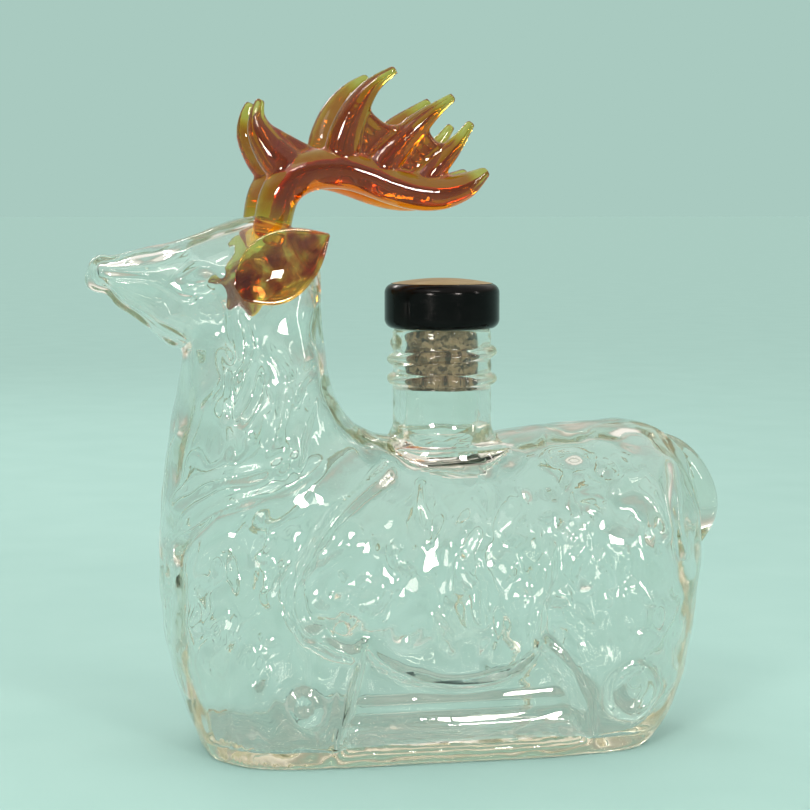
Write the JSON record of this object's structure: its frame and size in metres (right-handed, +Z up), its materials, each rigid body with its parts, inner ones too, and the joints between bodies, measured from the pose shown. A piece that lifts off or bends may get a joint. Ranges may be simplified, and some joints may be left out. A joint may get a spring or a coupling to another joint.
{
  "type": "figural liquor decanter",
  "caption": "Hollow clear-glass bottle shaped as a standing deer, with amber glass antlers and ears, a threaded mouth on its back and a black-headed cork stopper.",
  "frame": {"origin": "on the table plane, under the axis of the mouth", "axes": "+Z up along the axis of the mouth; -X the way the deer looks; -Y its left side"},
  "size_m": [0.1629, 0.064, 0.168],
  "materials": {
    "clear_glass": "clear mould-blown glass, slightly wavy",
    "amber_glass": "worked amber rod, red-brown cores and yellow-green edges",
    "black_head": "glossy black",
    "inlay_wood": "pale turned wood, lightly waxed",
    "cork": "agglomerated cork"
  },
  "bodies": {
    "decanter": {"glass_body": "clear_glass", "mouth_tube": "clear_glass", "tail": "clear_glass", "left_antler_beam": "amber_glass", "left_brow_tine": "amber_glass", "left_first_crown_tine": "amber_glass", "left_second_crown_tine": "amber_glass", "left_third_crown_tine": "amber_glass", "left_ear": "amber_glass", "right_antler_beam": "amber_glass", "right_brow_tine": "amber_glass", "right_first_crown_tine": "amber_glass", "right_second_crown_tine": "amber_glass", "right_third_crown_tine": "amber_glass", "right_ear": "amber_glass"},
    "stopper": {"stopper_plug": "cork", "stopper_head": "black_head", "stopper_inlay": "inlay_wood"}
  },
  "joints": [
    {"name": "stopper_lift", "type": "slide", "parent": "decanter", "child": "stopper", "axis": [0, 0, 1], "range_m": [0, 0.0155]}
  ]
}
